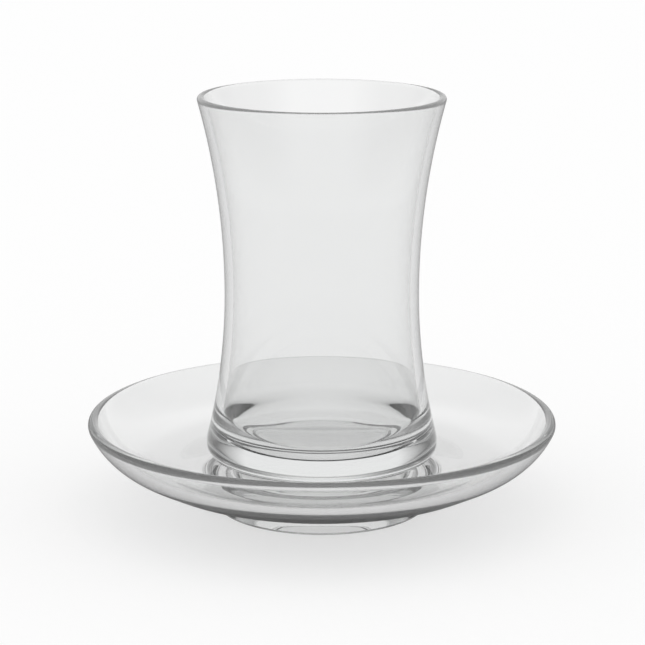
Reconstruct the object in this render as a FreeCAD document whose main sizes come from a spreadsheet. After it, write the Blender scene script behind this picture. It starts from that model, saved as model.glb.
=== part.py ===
"""A waisted tea glass of clear glass standing in a round clear-glass saucer with a foot ring.

Millimetres, +Z up. The origin is the centre of the saucer's foot ring, on the table.
Both pieces are turned about Z, so each is one outline (radius, height) revolved once.
The driving sizes are in the spreadsheet, and every outline is made of lines and arcs
that meet smoothly, worked out from those sizes.
"""
import FreeCAD, Part
import math
import os
import Sketcher

SIZES = {
    # the glass, from its own standing plane up
    "glass_height": 87.6,
    "waist_radius": 22.65,
    "waist_height": 42.2,
    "waist_wall": 2.0,
    "mouth_flare": 5.89,
    "lip_round": 0.8,
    "belly_swell": 4.55,
    "belly_height": 5.4,
    "belly_round": 10.0,
    "belly_wall": 4.0,
    "heel_round": 3.1,
    "stand_setback": 6.7,
    "stand_width": 2.0,
    "punt_depth": 0.3,
    "base_thickness": 5.4,
    "inner_floor_round": 8.0,
    # the saucer, from the table up
    "saucer_radius": 55.0,
    "saucer_height": 21.73,
    "saucer_lip_round": 1.27,
    "saucer_floor_height": 9.8,
    "saucer_underside_height": 5.9,
    "bend_setback": 18.64,
    "bend_round": 26.5,
    "inner_bend_round": 24.0,
    "slope_angle": 27.0,
    "brim_round": 19.4,
    "foot_setback": 30.02,
    "foot_width": 2.5,
    "foot_draft": 15.0,
    "foot_round": 3.0,
    "foot_edge_round": 0.5,
    "foot_recess_height": 5.2,
    "shortest_straight": 0.5,
    # the fit between the two
    "standing_gap": 0.0,
}

# Worked out from the sizes above. The saucer's underside bends up from its flat to a
# straight slope, and the brim's arc takes the slope over and holds the lip. Each bend is
# as round as named, or as round as the straight stretches beside it allow.
DERIVED = {
    "foot_radius": "Sizes.saucer_radius - Sizes.foot_setback",
    "bend_radius": "Sizes.saucer_radius - Sizes.bend_setback",
    "lip_centre_radius": "Sizes.saucer_radius - Sizes.saucer_lip_round",
    "lip_centre_height": "Sizes.saucer_height - Sizes.saucer_lip_round",
    "lip_out": "lip_centre_radius - bend_radius",
    "lip_up": "lip_centre_height - Sizes.saucer_underside_height",
    "lip_along": "lip_out * cos(Sizes.slope_angle) + lip_up * sin(Sizes.slope_angle)",
    "lip_off": "lip_up * cos(Sizes.slope_angle) - lip_out * sin(Sizes.slope_angle)",
    "brim_off": "Sizes.brim_round - lip_off",
    "brim_to_lip": "Sizes.brim_round - Sizes.saucer_lip_round",
    "slope_length": "lip_along - sqrt(brim_to_lip ^ 2 - brim_off ^ 2)",
    "bend_share": "tan(Sizes.slope_angle / 2)",
    "foot_rounds": "Sizes.foot_round + Sizes.foot_edge_round",
    "foot_face_height": "Sizes.saucer_underside_height - foot_rounds"
                        " + foot_rounds * sin(Sizes.foot_draft)",
    "foot_blend_reach": "foot_face_height * tan(Sizes.foot_draft)"
                        " + foot_rounds * cos(Sizes.foot_draft) - Sizes.foot_edge_round",
    "flat_length": "bend_radius - foot_radius - foot_blend_reach",
    "bend_room": "min(slope_length; flat_length) - Sizes.shortest_straight",
    "outer_bend_round": "min(Sizes.bend_round; bend_room / bend_share)",
    "inner_slope_rise": "Sizes.saucer_underside_height - Sizes.saucer_floor_height"
                        " + slope_length * sin(Sizes.slope_angle)"
                        " + 2 * Sizes.saucer_lip_round * cos(Sizes.slope_angle)",
    "inner_slope_length": "inner_slope_rise / sin(Sizes.slope_angle)",
    "inner_bend_room": "inner_slope_length - Sizes.shortest_straight",
    "inner_round": "min(Sizes.inner_bend_round; inner_bend_room / bend_share)",
}


def write_sizes(doc):
    """Put every size in the sheet under its own name."""
    sheet = doc.addObject("Spreadsheet::Sheet", "Sizes")
    for row, (name, value) in enumerate(SIZES.items(), start=1):
        sheet.set(f"A{row}", name)
        sheet.set(f"B{row}", str(value))
        sheet.setAlias(f"B{row}", name)
    doc.recompute()
    return sheet


def work_out(doc):
    """Hold the derived values in a set of their own, each bound by its formula."""
    derived = doc.addObject("App::VarSet", "Derived")
    for name in DERIVED:
        derived.addProperty("App::PropertyFloat", name)
    for name, formula in DERIVED.items():
        derived.setExpression(name, formula)
    doc.recompute()
    return derived


def point(centre, radius, angle):
    """The point at an angle, in radians, round a centre."""
    return (centre[0] + radius * math.cos(angle), centre[1] + radius * math.sin(angle))


def bearing(centre, target):
    """The angle, in radians, from a centre to a point."""
    return math.atan2(target[1] - centre[1], target[0] - centre[0])


class Outline:
    """A closed chain of lines and arcs in a sketch, each joined to the one before it."""

    def __init__(self, body, name):
        self.sketch = body.newObject("Sketcher::SketchObject", name)
        plane = next(f for f in body.Origin.OriginFeatures if f.Role == "XZ_Plane")
        self.sketch.AttachmentSupport = [(plane, "")]
        self.sketch.MapMode = "FlatFace"
        self.ends = []

    def add(self, geometry, entry, leave, smooth):
        """Add a piece of the chain, tangent to the last one where it is smooth."""
        index = self.sketch.addGeometry(geometry, False)
        if self.ends:
            kind = "Tangent" if smooth else "Coincident"
            last, last_leave = len(self.ends) - 1, self.ends[-1][1]
            self.sketch.addConstraint(Sketcher.Constraint(kind, last, last_leave, index, entry))
        self.ends.append((entry, leave))
        return index

    def line(self, start, end, smooth=False):
        """A straight piece."""
        segment = Part.LineSegment(FreeCAD.Vector(*start, 0), FreeCAD.Vector(*end, 0))
        return self.add(segment, 1, 2, smooth)

    def arc(self, centre, radius, first, last, smooth=True):
        """A round piece from one angle to another: anticlockwise if the angle grows."""
        circle = Part.Circle(FreeCAD.Vector(*centre, 0), FreeCAD.Vector(0, 0, 1), radius)
        if last > first:
            return self.add(Part.ArcOfCircle(circle, first, last), 1, 2, smooth)
        return self.add(Part.ArcOfCircle(circle, last, first), 2, 1, smooth)

    def close(self):
        """Join the end of the last piece to the start of the first."""
        last, leave = len(self.ends) - 1, self.ends[-1][1]
        self.rule("Coincident", last, leave, 0, self.ends[0][0])

    def rule(self, kind, *where):
        """A constraint with no size, such as Horizontal or PointOnObject."""
        self.sketch.addConstraint(Sketcher.Constraint(kind, *where))

    def bind(self, kind, where, value, expression):
        """A constraint whose size follows the sheet."""
        index = self.sketch.addConstraint(Sketcher.Constraint(kind, *where, value))
        self.sketch.setExpression(f"Constraints[{index}]", expression)

    def across(self, index, vertex, value, expression):
        """Hold a point's distance from the axis."""
        self.bind("DistanceX", (-1, 1, index, vertex), value, expression)

    def up(self, index, vertex, value, expression):
        """Hold a point's height over the origin."""
        self.bind("DistanceY", (-1, 1, index, vertex), value, expression)

    def lean(self, index, value, expression):
        """Hold a line's angle, in radians here, from the sketch's own level."""
        self.bind("Angle", (index,), value, expression)

    def radius(self, index, value, expression):
        """Hold an arc's radius."""
        self.bind("Radius", (index,), value, expression)


def revolve(body, outline):
    """Turn a finished outline once round the upright axis of its sketch."""
    turned = body.newObject("PartDesign::Revolution", body.Name + "_turned")
    turned.Profile = outline.sketch
    turned.ReferenceAxis = (outline.sketch, ["V_Axis"])
    turned.Angle = 360.0


def waist_arc_radius(waist_radius, end_centre, end_round, rise):
    """Radius of the arc that stands upright at the waist and touches a rounding.

    The arc's centre is level with the waist. end_centre is the rounding's distance
    from the axis, and rise its height above or below the waist. end_round is
    positive where the rounding bulges away from the axis, outside the arc's circle,
    and negative where it lies inside that circle.
    """
    step = waist_radius - end_centre
    return (step ** 2 + rise ** 2 - end_round ** 2) / (2 * (end_round - step))


def tangent_to_circle(start, centre, radius):
    """Angle of the line from a point that touches a circle on its lower side."""
    away = math.hypot(centre[0] - start[0], centre[1] - start[1])
    return bearing(start, centre) - math.asin(radius / away)


def make_glass(doc, size):
    """The waisted glass: thick base with a hollow underside, thin flared mouth."""
    body = doc.addObject("PartDesign::Body", "glass")
    body.Label = "glass"
    outline = Outline(body, "glass_outline")

    waist = size("waist_height")
    wall = size("waist_wall")
    heel_round = size("heel_round")
    belly_round = size("belly_round")
    lip_round = size("lip_round")
    floor_round = size("inner_floor_round")
    waist_radius = size("waist_radius")
    belly_radius = waist_radius + size("belly_swell")
    mouth_radius = waist_radius + size("mouth_flare")
    inner_belly_radius = belly_radius - size("belly_wall")
    heel = (belly_radius - heel_round, size("belly_height"))
    belly = (belly_radius - belly_round, size("belly_height"))
    lip = (mouth_radius - lip_round, size("glass_height") - lip_round)
    well = (inner_belly_radius - floor_round, size("base_thickness") + floor_round)

    # underside: a shallow hollow, a flat ring to stand on, a cone out to the heel
    stand_outer = belly_radius - size("stand_setback")
    stand_inner = stand_outer - size("stand_width")
    punt_depth = size("punt_depth")
    punt_radius = (stand_inner ** 2 + punt_depth ** 2) / (2 * punt_depth)
    punt_centre = (0.0, punt_depth - punt_radius)
    punt = outline.arc(punt_centre, punt_radius, math.pi / 2,
                       bearing(punt_centre, (stand_inner, 0.0)))
    stand_end = (stand_outer, 0.0)
    stand = outline.line((stand_inner, 0.0), stand_end)
    cone_angle = tangent_to_circle(stand_end, heel, heel_round)
    heel_start = cone_angle - math.pi / 2
    outline.line(stand_end, point(heel, heel_round, heel_start))

    # outside: heel, belly, two arcs that meet upright at the waist, and the lip
    heel_arc = outline.arc(heel, heel_round, heel_start, 0.0)
    lower_radius = waist_arc_radius(waist_radius, belly[0], belly_round, waist - belly[1])
    lower_centre = (waist_radius + lower_radius, waist)
    belly_end = bearing(belly, lower_centre)
    belly_arc = outline.arc(belly, belly_round, 0.0, belly_end)
    lower_arc = outline.arc(lower_centre, lower_radius, math.pi + belly_end, math.pi)
    upper_radius = waist_arc_radius(waist_radius, lip[0], lip_round, lip[1] - waist)
    upper_centre = (waist_radius + upper_radius, waist)
    lip_start = bearing(lip, upper_centre)
    upper_arc = outline.arc(upper_centre, upper_radius, math.pi, math.pi + lip_start)
    inner_waist = waist_radius - wall
    inner_upper_radius = waist_arc_radius(inner_waist, lip[0], -lip_round, lip[1] - waist)
    inner_upper_centre = (inner_waist + inner_upper_radius, waist)
    lip_end = bearing(inner_upper_centre, lip)
    lip_arc = outline.arc(lip, lip_round, lip_start, lip_end)

    # inside: down the wall, round into the floor, and back to the axis
    inner_upper_arc = outline.arc(inner_upper_centre, inner_upper_radius, lip_end, math.pi)
    inner_lower_radius = waist_arc_radius(inner_waist, well[0], floor_round, waist - well[1])
    inner_lower_centre = (inner_waist + inner_lower_radius, waist)
    well_start = bearing(well, inner_lower_centre)
    inner_lower_arc = outline.arc(inner_lower_centre, inner_lower_radius,
                                  math.pi, math.pi + well_start)
    well_arc = outline.arc(well, floor_round, well_start, -math.pi / 2)
    floor_height = size("base_thickness")
    floor = outline.line((well[0], floor_height), (0.0, floor_height), smooth=True)
    axis = outline.line((0.0, floor_height), (0.0, punt_depth))
    outline.close()

    outline.rule("PointOnObject", punt, 3, -2)
    outline.rule("PointOnObject", stand, 1, -1)
    outline.rule("PointOnObject", stand, 2, -1)
    outline.rule("PointOnObject", axis, 1, -2)
    outline.rule("PointOnObject", axis, 2, -2)
    outline.rule("Horizontal", floor)
    outline.up(axis, 2, punt_depth, "Sizes.punt_depth")
    outline.across(stand, 1, stand_inner,
                   "Sizes.waist_radius + Sizes.belly_swell"
                   " - Sizes.stand_setback - Sizes.stand_width")
    outline.across(stand, 2, stand_outer,
                   "Sizes.waist_radius + Sizes.belly_swell - Sizes.stand_setback")
    outline.radius(heel_arc, heel_round, "Sizes.heel_round")
    outline.across(heel_arc, 3, heel[0],
                   "Sizes.waist_radius + Sizes.belly_swell - Sizes.heel_round")
    outline.up(heel_arc, 3, heel[1], "Sizes.belly_height")
    outline.radius(belly_arc, belly_round, "Sizes.belly_round")
    outline.up(belly_arc, 3, belly[1], "Sizes.belly_height")
    outline.up(lower_arc, 3, waist, "Sizes.waist_height")
    outline.across(upper_arc, 2, waist_radius, "Sizes.waist_radius")
    outline.up(upper_arc, 3, waist, "Sizes.waist_height")
    outline.radius(lip_arc, lip_round, "Sizes.lip_round")
    outline.across(lip_arc, 3, lip[0],
                   "Sizes.waist_radius + Sizes.mouth_flare - Sizes.lip_round")
    outline.up(lip_arc, 3, lip[1], "Sizes.glass_height - Sizes.lip_round")
    outline.up(inner_upper_arc, 3, waist, "Sizes.waist_height")
    outline.across(inner_lower_arc, 1, inner_waist, "Sizes.waist_radius - Sizes.waist_wall")
    outline.up(inner_lower_arc, 3, waist, "Sizes.waist_height")
    outline.radius(well_arc, floor_round, "Sizes.inner_floor_round")
    outline.across(well_arc, 3, well[0],
                   "Sizes.waist_radius + Sizes.belly_swell"
                   " - Sizes.belly_wall - Sizes.inner_floor_round")
    outline.up(floor, 1, floor_height, "Sizes.base_thickness")
    revolve(body, outline)
    body.setExpression("Placement.Base.z", "Sizes.saucer_floor_height + Sizes.standing_gap")
    return body


def make_saucer(doc, size, derived):
    """The round saucer: flat floor, rising wall, upturned brim, foot ring underneath."""
    body = doc.addObject("PartDesign::Body", "saucer")
    body.Label = "saucer"
    outline = Outline(body, "saucer_outline")

    lip_round = size("saucer_lip_round")
    lip = (derived.lip_centre_radius, derived.lip_centre_height)
    slope = math.radians(size("slope_angle"))
    normal = slope + math.pi / 2
    underside = size("saucer_underside_height")
    floor_height = size("saucer_floor_height")
    edge_round = size("foot_edge_round")
    foot_round = size("foot_round")
    recess = size("foot_recess_height")
    draft = math.radians(size("foot_draft"))

    # foot ring: its two faces lean away from each other by the same draft
    foot_outer = derived.foot_radius
    foot_inner = foot_outer - size("foot_width")
    outer_edge = (foot_outer - edge_round, edge_round)
    inner_edge = (foot_inner + edge_round, edge_round)
    outer_face_start = point(outer_edge, edge_round, -draft)
    inner_face_start = point(inner_edge, edge_round, math.pi + draft)
    outer_reach = underside - foot_round - outer_face_start[1] + foot_round * math.sin(draft)
    outer_face_end = (outer_face_start[0] + outer_reach * math.tan(draft),
                      outer_face_start[1] + outer_reach)
    outer_blend = point(outer_face_end, foot_round, -draft)
    inner_reach = recess - foot_round - inner_face_start[1] + foot_round * math.sin(draft)
    inner_face_end = (inner_face_start[0] - inner_reach * math.tan(draft),
                      inner_face_start[1] + inner_reach)
    inner_blend = point(inner_face_end, foot_round, math.pi + draft)

    ceiling = outline.line((0.0, recess), (inner_blend[0], recess))
    inner_blend_arc = outline.arc(inner_blend, foot_round, math.pi / 2, draft)
    inner_face = outline.line(inner_face_end, inner_face_start, smooth=True)
    inner_edge_arc = outline.arc(inner_edge, edge_round, math.pi + draft, 1.5 * math.pi)
    sole = outline.line((inner_edge[0], 0.0), (outer_edge[0], 0.0), smooth=True)
    outer_edge_arc = outline.arc(outer_edge, edge_round, -math.pi / 2, -draft)
    outer_face = outline.line(outer_face_start, outer_face_end, smooth=True)
    outer_blend_arc = outline.arc(outer_blend, foot_round, math.pi - draft, math.pi / 2)

    # underside: flat, then a bend, a straight slope, the brim and the lip
    bend_round = derived.outer_bend_round
    bend_start = derived.bend_radius - bend_round * derived.bend_share
    flat = outline.line((outer_blend[0], underside), (bend_start, underside), smooth=True)
    bend = (bend_start, underside + bend_round)
    bend_arc = outline.arc(bend, bend_round, -math.pi / 2, normal - math.pi)
    bend_end = point(bend, bend_round, normal - math.pi)
    brim_round = size("brim_round")
    slope_end = point((derived.bend_radius, underside), derived.slope_length, slope)
    slope_line = outline.line(bend_end, slope_end, smooth=True)
    brim = point(slope_end, brim_round, normal)
    lip_angle = bearing(brim, lip)
    brim_arc = outline.arc(brim, brim_round, normal - math.pi, lip_angle)
    lip_arc = outline.arc(lip, lip_round, lip_angle, lip_angle + math.pi)

    # inside: the brim's wall is as thick as the lip, and the floor is flat
    inner_brim_round = brim_round - 2 * lip_round
    inner_brim_arc = outline.arc(brim, inner_brim_round, lip_angle, normal - math.pi)
    inner_slope_start = point(brim, inner_brim_round, normal - math.pi)
    inner_round = derived.inner_round
    inner_straight = derived.inner_slope_length - inner_round * derived.bend_share
    inner_slope_end = point(inner_slope_start, inner_straight, slope + math.pi)
    inner_bend = point(inner_slope_end, inner_round, normal)
    inner_slope = outline.line(inner_slope_start, inner_slope_end, smooth=True)
    inner_bend_arc = outline.arc(inner_bend, inner_round, normal - math.pi, -math.pi / 2)
    floor = outline.line((inner_bend[0], floor_height), (0.0, floor_height), smooth=True)
    axis = outline.line((0.0, floor_height), (0.0, recess))
    outline.close()

    outline.rule("Horizontal", ceiling)
    outline.rule("PointOnObject", sole, 1, -1)
    outline.rule("PointOnObject", sole, 2, -1)
    outline.rule("Horizontal", flat)
    outline.rule("Parallel", inner_slope, slope_line)
    outline.rule("Coincident", inner_brim_arc, 3, brim_arc, 3)
    outline.rule("Horizontal", floor)
    outline.rule("PointOnObject", axis, 1, -2)
    outline.rule("PointOnObject", axis, 2, -2)
    outline.up(axis, 2, recess, "Sizes.foot_recess_height")
    outline.radius(inner_blend_arc, foot_round, "Sizes.foot_round")
    outline.lean(inner_face, draft - math.pi / 2, "(Sizes.foot_draft - 90) * 1 deg")
    outline.radius(inner_edge_arc, edge_round, "Sizes.foot_edge_round")
    outline.across(sole, 1, inner_edge[0],
                   "Derived.foot_radius - Sizes.foot_width + Sizes.foot_edge_round")
    outline.radius(outer_edge_arc, edge_round, "Sizes.foot_edge_round")
    outline.across(sole, 2, outer_edge[0], "Derived.foot_radius - Sizes.foot_edge_round")
    outline.lean(outer_face, math.pi / 2 - draft, "(90 - Sizes.foot_draft) * 1 deg")
    outline.radius(outer_blend_arc, foot_round, "Sizes.foot_round")
    outline.up(flat, 2, underside, "Sizes.saucer_underside_height")
    outline.across(flat, 2, bend_start,
                   "Derived.bend_radius - Derived.outer_bend_round * Derived.bend_share")
    outline.radius(bend_arc, bend_round, "Derived.outer_bend_round")
    outline.lean(slope_line, slope, "Sizes.slope_angle * 1 deg")
    outline.radius(brim_arc, brim_round, "Sizes.brim_round")
    outline.radius(lip_arc, lip_round, "Sizes.saucer_lip_round")
    outline.across(lip_arc, 3, lip[0], "Derived.lip_centre_radius")
    outline.up(lip_arc, 3, lip[1], "Derived.lip_centre_height")
    outline.radius(inner_bend_arc, inner_round, "Derived.inner_round")
    outline.up(floor, 1, floor_height, "Sizes.saucer_floor_height")
    revolve(body, outline)
    return body


def check(doc, pieces):
    """Stop if anything failed to build, before a single file is written."""
    for item in doc.Objects:
        if "Invalid" in item.State or "Error" in item.State:
            raise RuntimeError(f"{item.Name} did not build: {item.State}")
    for piece in pieces:
        if piece.Shape.isNull() or not piece.Shape.isValid():
            raise RuntimeError(f"{piece.Label} has no valid shape")
        if len(piece.Shape.Solids) != 1:
            raise RuntimeError(f"{piece.Label} is not one solid")


def main():
    """Build both pieces, check them and write one file for each."""
    doc = FreeCAD.newDocument("tea_glass")
    sheet = write_sizes(doc)
    pieces = [make_glass(doc, sheet.get), make_saucer(doc, sheet.get, work_out(doc))]
    doc.recompute()
    check(doc, pieces)
    os.makedirs("parts", exist_ok=True)
    for piece in pieces:
        box = piece.Shape.optimalBoundingBox()
        print(f"{piece.Label}: {piece.Shape.Volume:.1f} mm3, radius {box.XMax:.2f},"
              f" heights {box.ZMin:.2f} to {box.ZMax:.2f}")
        piece.Shape.exportStep(os.path.join("parts", piece.Label + ".step"))


main()
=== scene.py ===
"""An empty waisted tea glass of clear glass, standing in a clear-glass saucer.

Metres, +Z up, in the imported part's own frame. Both pieces are turned about Z, so each is
one outline of lines and arcs, worked out from named sizes and spun into a mesh.
"""
import math

import bpy
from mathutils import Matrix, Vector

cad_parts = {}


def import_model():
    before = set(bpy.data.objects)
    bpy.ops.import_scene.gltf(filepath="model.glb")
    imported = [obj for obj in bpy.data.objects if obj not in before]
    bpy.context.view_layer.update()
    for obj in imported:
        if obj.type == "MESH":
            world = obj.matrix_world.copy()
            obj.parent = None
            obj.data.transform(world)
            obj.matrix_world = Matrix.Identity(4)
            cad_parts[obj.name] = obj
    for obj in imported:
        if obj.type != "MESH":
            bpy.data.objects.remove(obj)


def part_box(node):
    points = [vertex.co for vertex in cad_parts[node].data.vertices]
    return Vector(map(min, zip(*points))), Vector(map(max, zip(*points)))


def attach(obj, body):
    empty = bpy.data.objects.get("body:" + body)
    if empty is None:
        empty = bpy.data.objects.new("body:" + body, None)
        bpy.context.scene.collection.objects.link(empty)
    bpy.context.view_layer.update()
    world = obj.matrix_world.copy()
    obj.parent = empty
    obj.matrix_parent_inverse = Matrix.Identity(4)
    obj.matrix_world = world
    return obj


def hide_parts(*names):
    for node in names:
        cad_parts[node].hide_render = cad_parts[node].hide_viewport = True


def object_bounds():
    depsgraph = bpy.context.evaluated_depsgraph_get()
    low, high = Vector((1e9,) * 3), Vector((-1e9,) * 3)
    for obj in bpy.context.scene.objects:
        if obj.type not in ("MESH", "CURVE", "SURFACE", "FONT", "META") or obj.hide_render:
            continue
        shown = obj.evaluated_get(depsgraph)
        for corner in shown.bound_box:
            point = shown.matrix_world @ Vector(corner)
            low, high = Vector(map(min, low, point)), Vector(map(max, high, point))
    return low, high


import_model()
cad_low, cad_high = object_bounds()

MM = 0.001
UP = math.pi / 2
DOWN = -math.pi / 2

glass_low, glass_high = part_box("glass")
saucer_low, saucer_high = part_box("saucer")


# ---------------------------------------------------------------- outlines

SEGMENTS = 256
LONGEST_CHORD = 0.7 * MM
LONGEST_STRAIGHT = 1.5 * MM
LARGEST_TURN = math.radians(4.0)
SAME_POINT = 1e-7


def point(centre, radius, angle):
    """The point at an angle round a centre."""
    return (centre[0] + radius * math.cos(angle), centre[1] + radius * math.sin(angle))


def bearing(centre, target):
    """The angle from a centre to a point."""
    return math.atan2(target[1] - centre[1], target[0] - centre[0])


def arc(centre, radius, first, last):
    """Points along an arc, close enough together to refract as a smooth curve."""
    turn = abs(last - first)
    count = math.ceil(max(turn / LARGEST_TURN, turn * radius / LONGEST_CHORD))
    return [point(centre, radius, first + (last - first) * i / count) for i in range(count + 1)]


def line(start, end):
    """Points along a straight stretch."""
    count = max(1, math.ceil(math.dist(start, end) / LONGEST_STRAIGHT))
    return [tuple(a + (b - a) * i / count for a, b in zip(start, end)) for i in range(count + 1)]


def chain(*stretches):
    """One outline from its stretches, with each shared end kept once."""
    outline = []
    for stretch in stretches:
        for p in stretch:
            if not outline or math.dist(p, outline[-1]) > SAME_POINT:
                outline.append(p)
    return outline


def spin(name, outline):
    """Turns an outline that starts and ends on the axis into a closed smooth mesh."""
    inner = outline[1:-1]
    vertices = [(0.0, 0.0, outline[0][1])]
    for s in range(SEGMENTS):
        a = 2 * math.pi * s / SEGMENTS
        vertices += [(r * math.cos(a), r * math.sin(a), z) for r, z in inner]
    vertices.append((0.0, 0.0, outline[-1][1]))
    last = len(vertices) - 1
    faces = []
    for s in range(SEGMENTS):
        here = 1 + s * len(inner)
        there = 1 + (s + 1) % SEGMENTS * len(inner)
        faces.append((0, there, here))
        for i in range(len(inner) - 1):
            faces.append((here + i, there + i, there + i + 1, here + i + 1))
        faces.append((last, here + len(inner) - 1, there + len(inner) - 1))
    mesh = bpy.data.meshes.new(name)
    mesh.from_pydata(vertices, [], faces)
    mesh.validate()
    mesh.shade_smooth()
    piece = bpy.data.objects.new(name, mesh)
    bpy.context.scene.collection.objects.link(piece)
    return piece


# ---------------------------------------------------------------- the glass

def waist_arc_radius(waist_radius, end_centre, end_round, rise):
    """Radius of the arc that stands upright at the waist and touches a rounding.

    A negative rounding is touched from its other side.
    """
    step = waist_radius - end_centre
    return (step ** 2 + rise ** 2 - end_round ** 2) / (2 * (end_round - step))


def tea_glass():
    """The waisted glass: thick base, hollow underside, flared mouth with a round lip."""
    waist_radius = 22.65 * MM
    waist_height = 42.2 * MM
    waist_wall = 2.0 * MM
    belly_swell = 4.55 * MM
    belly_height = 5.4 * MM
    belly_round = 10.0 * MM
    belly_wall = 4.0 * MM
    heel_round = 3.1 * MM
    lip_round = 0.8 * MM
    floor_round = 8.0 * MM
    base_thickness = 5.4 * MM
    stand_setback = 6.7 * MM
    stand_width = 2.0 * MM
    punt_depth = 0.3 * MM
    resting_gap = 0.03 * MM

    seat = glass_low.z
    sole = seat + resting_gap
    waist = seat + waist_height
    inner_floor = seat + base_thickness
    mouth_radius = glass_high.x
    inner_waist = waist_radius - waist_wall
    belly_radius = waist_radius + belly_swell
    inner_belly_radius = belly_radius - belly_wall
    stand_outer = belly_radius - stand_setback
    stand_inner = stand_outer - stand_width

    heel = (belly_radius - heel_round, seat + belly_height)
    belly = (belly_radius - belly_round, seat + belly_height)
    lip = (mouth_radius - lip_round, glass_high.z - lip_round)
    well = (inner_belly_radius - floor_round, inner_floor + floor_round)

    punt_radius = (stand_inner ** 2 + punt_depth ** 2) / (2 * punt_depth)
    punt = (0.0, sole + punt_depth - punt_radius)
    away = math.dist((stand_outer, sole), heel)
    cone = bearing((stand_outer, sole), heel) - math.asin(heel_round / away)

    lower = waist_arc_radius(waist_radius, belly[0], belly_round, waist - belly[1])
    lower_centre = (waist_radius + lower, waist)
    upper = waist_arc_radius(waist_radius, lip[0], lip_round, lip[1] - waist)
    upper_centre = (waist_radius + upper, waist)
    inner_upper = waist_arc_radius(inner_waist, lip[0], -lip_round, lip[1] - waist)
    inner_upper_centre = (inner_waist + inner_upper, waist)
    inner_lower = waist_arc_radius(inner_waist, well[0], floor_round, waist - well[1])
    inner_lower_centre = (inner_waist + inner_lower, waist)
    belly_end = bearing(belly, lower_centre)
    lip_start = bearing(lip, upper_centre)
    lip_end = bearing(inner_upper_centre, lip)
    well_start = bearing(well, inner_lower_centre)

    outline = chain(
        arc(punt, punt_radius, UP, bearing(punt, (stand_inner, sole))),
        line((stand_inner, sole), (stand_outer, sole)),
        line((stand_outer, sole), point(heel, heel_round, cone + DOWN)),
        arc(heel, heel_round, cone + DOWN, 0.0),
        arc(belly, belly_round, 0.0, belly_end),
        arc(lower_centre, lower, math.pi + belly_end, math.pi),
        arc(upper_centre, upper, math.pi, math.pi + lip_start),
        arc(lip, lip_round, lip_start, lip_end),
        arc(inner_upper_centre, inner_upper, lip_end, math.pi),
        arc(inner_lower_centre, inner_lower, math.pi, math.pi + well_start),
        arc(well, floor_round, well_start, DOWN),
        line((well[0], inner_floor), (0.0, inner_floor)),
    )
    return spin("tea_glass", outline)


# ---------------------------------------------------------------- the saucer

def slope_length(kink, slope, brim_round, lip, lip_round):
    """How far a straight slope runs from a kink to the brim's arc, which holds the lip."""
    out, up = lip[0] - kink[0], lip[1] - kink[1]
    along = out * math.cos(slope) + up * math.sin(slope)
    off = up * math.cos(slope) - out * math.sin(slope)
    return along - math.sqrt((brim_round - lip_round) ** 2 - (brim_round - off) ** 2)


def tea_saucer():
    """The saucer: flat floor, rising wall, upturned brim, foot ring underneath."""
    lip_round = 1.27 * MM
    slope = math.radians(27.0)
    underside_height = 5.9 * MM
    recess_height = 5.2 * MM
    edge_round = 0.5 * MM
    foot_round = 3.0 * MM
    foot_setback = 30.02 * MM
    foot_width = 2.5 * MM
    draft = math.radians(15.0)
    bend_setback = 18.64 * MM
    bend_round = 26.5 * MM
    inner_round = 24.0 * MM
    brim_round = 19.4 * MM

    sole = saucer_low.z
    floor = glass_low.z
    underside = sole + underside_height
    recess = sole + recess_height
    foot_outer = saucer_high.x - foot_setback
    foot_inner = foot_outer - foot_width
    bend_radius = saucer_high.x - bend_setback
    lip = (saucer_high.x - lip_round, saucer_high.z - lip_round)
    normal = slope + UP

    outer_edge = (foot_outer - edge_round, sole + edge_round)
    inner_edge = (foot_inner + edge_round, sole + edge_round)
    outer_start = point(outer_edge, edge_round, -draft)
    inner_start = point(inner_edge, edge_round, math.pi + draft)
    outer_reach = underside - foot_round - outer_start[1] + foot_round * math.sin(draft)
    outer_end = (outer_start[0] + outer_reach * math.tan(draft), outer_start[1] + outer_reach)
    inner_reach = recess - foot_round - inner_start[1] + foot_round * math.sin(draft)
    inner_end = (inner_start[0] - inner_reach * math.tan(draft), inner_start[1] + inner_reach)
    outer_blend = point(outer_end, foot_round, -draft)
    inner_blend = point(inner_end, foot_round, math.pi + draft)
    kink = (bend_radius, underside)
    bend_start = bend_radius - bend_round * math.tan(slope / 2)
    bend = (bend_start, underside + bend_round)
    bend_end = point(bend, bend_round, normal - math.pi)
    slope_end = point(kink, slope_length(kink, slope, brim_round, lip, lip_round), slope)
    brim = point(slope_end, brim_round, normal)
    lip_angle = bearing(brim, lip)
    inner_brim = brim_round - 2 * lip_round
    inner_slope_start = point(brim, inner_brim, normal - math.pi)
    inner_straight = ((inner_slope_start[1] - floor) / math.sin(slope)
                      - inner_round * math.tan(slope / 2))
    inner_slope_end = point(inner_slope_start, inner_straight, slope + math.pi)
    inner_bend = point(inner_slope_end, inner_round, normal)

    outline = chain(
        line((0.0, recess), (inner_blend[0], recess)),
        arc(inner_blend, foot_round, UP, draft),
        line(inner_end, inner_start),
        arc(inner_edge, edge_round, math.pi + draft, 1.5 * math.pi),
        line((inner_edge[0], sole), (outer_edge[0], sole)),
        arc(outer_edge, edge_round, DOWN, -draft),
        line(outer_start, outer_end),
        arc(outer_blend, foot_round, math.pi - draft, UP),
        line((outer_blend[0], underside), (bend_start, underside)),
        arc(bend, bend_round, DOWN, normal - math.pi),
        line(bend_end, slope_end),
        arc(brim, brim_round, normal - math.pi, lip_angle),
        arc(lip, lip_round, lip_angle, lip_angle + math.pi),
        arc(brim, inner_brim, lip_angle, normal - math.pi),
        line(inner_slope_start, inner_slope_end),
        arc(inner_bend, inner_round, normal - math.pi, DOWN),
        line((inner_bend[0], floor), (0.0, floor)),
    )
    return spin("tea_saucer", outline)


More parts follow.
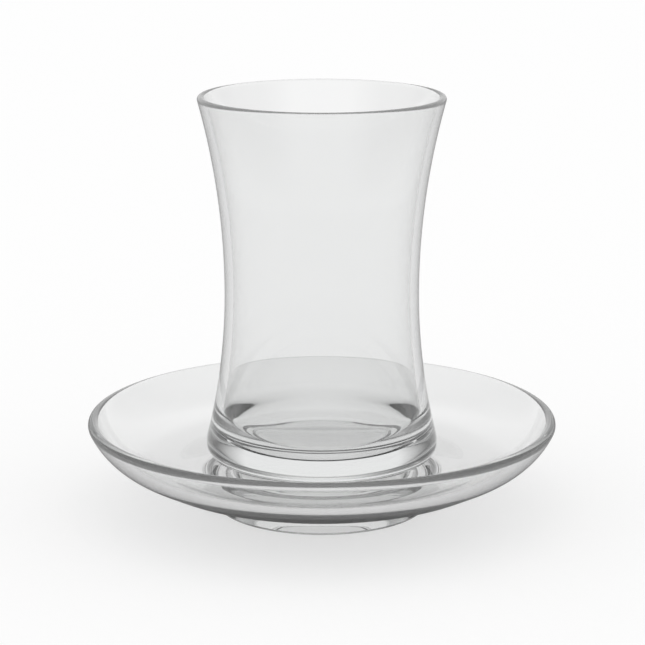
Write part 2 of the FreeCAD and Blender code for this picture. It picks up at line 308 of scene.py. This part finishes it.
# ---------------------------------------------------------------- materials

REFRACTION = 1.5
TINT = (0.928, 0.931, 0.930, 1.0)
# Painted shade: the glass greys towards this where it is seen edge on, by the stops below.
EDGE_SHADE = (0.80, 0.802, 0.801, 1.0)
EDGE_SHADE_STOPS = [(0.45, 0.0), (0.9, 1.0)]
# Painted shade: a grey laid on light turned back inside the glass and on light let out after the
# bounce limit.
TRAPPED_SHADE = (0.8, 0.8, 0.8, 1.0)
MOST_BOUNCES = 3.5
WAVE_STRENGTH = 0.02
WAVE_HEIGHT = 0.5 * MM
BULK_TINT = (0.90, 0.93, 0.92, 1.0)
BULK_DENSITY = 6.0

WHITE = (1.0, 1.0, 1.0, 1.0)
TABLE_GREY = (0.4, 0.4, 0.4, 1.0)
TABLE_GLOW = 0.6


class Nodes:
    """A node tree, built with short calls."""

    def __init__(self, tree):
        self.tree = tree
        tree.nodes.clear()

    def add(self, kind, **values):
        node = self.tree.nodes.new(kind)
        for name, value in values.items():
            setattr(node, name, value)
        return node

    def link(self, source, target):
        self.tree.links.new(source, target)

    def scaled(self, source, by, plus):
        """A value times one number plus another."""
        node = self.add("ShaderNodeMath", operation="MULTIPLY_ADD")
        self.link(source, node.inputs[0])
        node.inputs[1].default_value = by
        node.inputs[2].default_value = plus
        return node.outputs[0]

    def joined(self, operation, first, second):
        """One operation on two values, such as their product."""
        node = self.add("ShaderNodeMath", operation=operation)
        self.link(first, node.inputs[0])
        self.link(second, node.inputs[1])
        return node.outputs[0]

    def sideways(self, source):
        """How far a direction points to either side: 0 along Y, 1 along X."""
        flat = self.add("ShaderNodeVectorMath", operation="MULTIPLY")
        flat.inputs[1].default_value = (1.0, 1.0, 0.0)
        self.link(source, flat.inputs[0])
        unit = self.add("ShaderNodeVectorMath", operation="NORMALIZE")
        self.link(flat.outputs[0], unit.inputs[0])
        parts = self.add("ShaderNodeSeparateXYZ")
        self.link(unit.outputs[0], parts.inputs[0])
        side = self.add("ShaderNodeMath", operation="ABSOLUTE")
        self.link(parts.outputs["X"], side.inputs[0])
        return side.outputs[0]

    def mixed(self, factor, first, second):
        """One colour or the other: each a colour or a socket."""
        node = self.add("ShaderNodeMix", data_type="RGBA")
        self.link(factor, node.inputs["Factor"])
        for socket, colour in ((node.inputs[6], first), (node.inputs[7], second)):
            if isinstance(colour, tuple):
                socket.default_value = colour
            else:
                self.link(colour, socket)
        return node.outputs[2]

    def ramp(self, source, stops):
        """Grey levels that change from stop to stop."""
        node = self.add("ShaderNodeValToRGB")
        self.link(source, node.inputs["Fac"])
        elements = node.color_ramp.elements
        while len(elements) < len(stops):
            elements.new(0.5)
        for element, (position, level) in zip(elements, stops):
            element.position = position
            element.color = (level, level, level, 1.0)
        return node.outputs["Color"]


def mould_waves(n, wave_scale, seed):
    """A normal with faint waves, as a mould leaves in a fire-polished surface."""
    place = n.add("ShaderNodeTexCoord")
    waves = n.add("ShaderNodeTexNoise", noise_dimensions="4D")
    waves.inputs["Scale"].default_value = wave_scale
    waves.inputs["W"].default_value = seed
    waves.inputs["Detail"].default_value = 1.0
    n.link(place.outputs["Object"], waves.inputs["Vector"])
    bump = n.add("ShaderNodeBump")
    bump.inputs["Strength"].default_value = WAVE_STRENGTH
    bump.inputs["Distance"].default_value = WAVE_HEIGHT
    n.link(waves.outputs["Fac"], bump.inputs["Height"])
    return bump.outputs["Normal"]


def clear_glass(name, wave_scale, seed, trapped_shade_amount):
    """Colourless pressed glass, greyer where it is seen edge on.

    The grey where it is seen edge on is a painted shade. Light that runs round inside a lip
    leaves it after a few bounces, dimmed by a painted shade that is the same all round. The last
    argument says how much this painted shade also dims light that has turned back once inside the
    wall.
    """
    material = bpy.data.materials.new(name)
    material.use_nodes = True
    n = Nodes(material.node_tree)
    output = n.add("ShaderNodeOutputMaterial")
    path = n.add("ShaderNodeLightPath")
    reflected = path.outputs["Is Reflection Ray"]

    shader = n.add("ShaderNodeBsdfPrincipled")
    shader.inputs["Transmission Weight"].default_value = 1.0
    shader.inputs["IOR"].default_value = REFRACTION
    shader.inputs["Roughness"].default_value = 0.0
    n.link(mould_waves(n, wave_scale, seed), shader.inputs["Normal"])
    # Painted shade: the glass's own tint greys towards the edge shade where it is seen edge on.
    facing = n.add("ShaderNodeLayerWeight")
    edge = n.ramp(facing.outputs["Facing"], EDGE_SHADE_STOPS)
    body = n.mixed(edge, TINT, EDGE_SHADE)
    # Painted shade on light that has turned back inside the wall.
    turned = n.scaled(reflected, trapped_shade_amount, 0.0)
    n.link(n.mixed(turned, body, TRAPPED_SHADE), shader.inputs["Base Color"])

    # Past the bounce limit, light leaves through a clear pass greyed by the same painted shade.
    clear = n.add("ShaderNodeBsdfTransparent")
    clear.inputs["Color"].default_value = TRAPPED_SHADE
    deep = n.add("ShaderNodeMath", operation="GREATER_THAN")
    deep.inputs[1].default_value = MOST_BOUNCES
    n.link(path.outputs["Ray Depth"], deep.inputs[0])
    either = n.add("ShaderNodeMixShader")
    n.link(n.joined("MULTIPLY", deep.outputs[0], reflected), either.inputs[0])
    n.link(shader.outputs[0], either.inputs[1])
    n.link(clear.outputs[0], either.inputs[2])
    n.link(either.outputs[0], output.inputs["Surface"])

    absorb = n.add("ShaderNodeVolumeAbsorption")
    absorb.inputs["Color"].default_value = BULK_TINT
    absorb.inputs["Density"].default_value = BULK_DENSITY
    n.link(absorb.outputs["Volume"], output.inputs["Volume"])
    return material


def floor_material():
    """Matt pale table that glows to the eye and through glass, and keeps its shadow."""
    material = bpy.data.materials.new("table_white")
    material.use_nodes = True
    n = Nodes(material.node_tree)
    output = n.add("ShaderNodeOutputMaterial")
    diffuse = n.add("ShaderNodeBsdfDiffuse")
    diffuse.inputs["Color"].default_value = TABLE_GREY
    glow = n.add("ShaderNodeEmission")
    glow.inputs["Color"].default_value = WHITE
    path = n.add("ShaderNodeLightPath")
    seen = n.joined("MAXIMUM", path.outputs["Is Camera Ray"], path.outputs["Is Transmission Ray"])
    n.link(n.scaled(seen, TABLE_GLOW, 0.0), glow.inputs["Strength"])
    both = n.add("ShaderNodeAddShader")
    n.link(diffuse.outputs[0], both.inputs[0])
    n.link(glow.outputs[0], both.inputs[1])
    n.link(both.outputs[0], output.inputs["Surface"])
    return material


# ---------------------------------------------------------------- stage

TABLE_RADIUS = 40.0
TABLE_SIDES = 96
TABLE_GAP = 0.02 * MM

# How dark the world's side bands are, by degrees of elevation and degrees from Y to X.
BAND_HEIGHTS = [(0, 0.0), (8, 1.0), (60, 1.0), (80, 0.0)]
BAND_WIDTHS = [(30, 0.0), (65, 1.0)]
DARK_LEVEL = 0.1
LIGHT_LEVEL = 0.9

LENS = 127.4
SENSOR = 36.0
CAMERA_DISTANCE = 0.5189
CAMERA_HEIGHT = 0.1702
CAMERA_TILT = math.radians(13.681)
CAMERA_SHIFT = 0.001085
NEAREST_SEEN = 0.01


def table():
    """The table: a wide round sheet just under the surface the foot ring stands on."""
    turns = [2 * math.pi * i / TABLE_SIDES for i in range(TABLE_SIDES)]
    ring = [(TABLE_RADIUS * math.cos(a), TABLE_RADIUS * math.sin(a), 0.0) for a in turns]
    mesh = bpy.data.meshes.new("table_top")
    mesh.from_pydata(ring, [], [tuple(range(TABLE_SIDES))])
    mesh.materials.append(floor_material())
    top = bpy.data.objects.new("table_top", mesh)
    bpy.context.scene.collection.objects.link(top)
    top.location.z = cad_low.z - TABLE_GAP


def world():
    """Light all round but for a dark band at mid height on either side.

    The eye and matt surfaces see plain white; the bands show in reflection and through
    the glass.
    """
    w = bpy.data.worlds.new("studio")
    bpy.context.scene.world = w
    w.use_nodes = True
    n = Nodes(w.node_tree)
    output = n.add("ShaderNodeOutputWorld")
    back = n.add("ShaderNodeBackground")
    direction = n.add("ShaderNodeTexCoord").outputs["Generated"]
    parts = n.add("ShaderNodeSeparateXYZ")
    n.link(direction, parts.inputs[0])
    heights = [(0.5 + 0.5 * math.sin(math.radians(angle)), dark) for angle, dark in BAND_HEIGHTS]
    widths = [(math.sin(math.radians(angle)), dark) for angle, dark in BAND_WIDTHS]
    upright = n.ramp(n.scaled(parts.outputs["Z"], 0.5, 0.5), heights)
    across = n.ramp(n.sideways(direction), widths)
    band = n.joined("MULTIPLY", upright, across)
    light = n.scaled(band, DARK_LEVEL - LIGHT_LEVEL, LIGHT_LEVEL)
    path = n.add("ShaderNodeLightPath")
    plain = n.joined("MAXIMUM", path.outputs["Is Camera Ray"], path.outputs["Is Diffuse Ray"])
    n.link(n.mixed(plain, light, WHITE), back.inputs["Color"])
    n.link(back.outputs[0], output.inputs["Surface"])


def camera():
    """Looks along +Y and down on the object from in front of it."""
    data = bpy.data.cameras.new("camera")
    data.sensor_width = SENSOR
    data.lens = LENS
    data.shift_x = CAMERA_SHIFT
    data.clip_start = NEAREST_SEEN
    item = bpy.data.objects.new("camera", data)
    bpy.context.scene.collection.objects.link(item)
    item.location = (0.0, -CAMERA_DISTANCE, CAMERA_HEIGHT)
    item.rotation_euler = (math.pi / 2 - CAMERA_TILT, 0.0, 0.0)
    bpy.context.scene.camera = item


# ---------------------------------------------------------------- the scene

# Each piece: its mesh, its CAD node, then its material's wave scale, seed and how much painted
# shade dims light turned back inside it.
for piece, node, wave_scale, seed, trapped_shade_amount in ((tea_glass(), "glass", 40.0, 1.0, 0.0),
                                               (tea_saucer(), "saucer", 30.0, 2.0, 0.75)):
    piece.data.materials.append(clear_glass("clear_glass_" + node, wave_scale, seed, trapped_shade_amount))
    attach(piece, "root")
    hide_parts(node)
table()
world()
camera()

bpy.context.scene.view_settings.view_transform = "Standard"
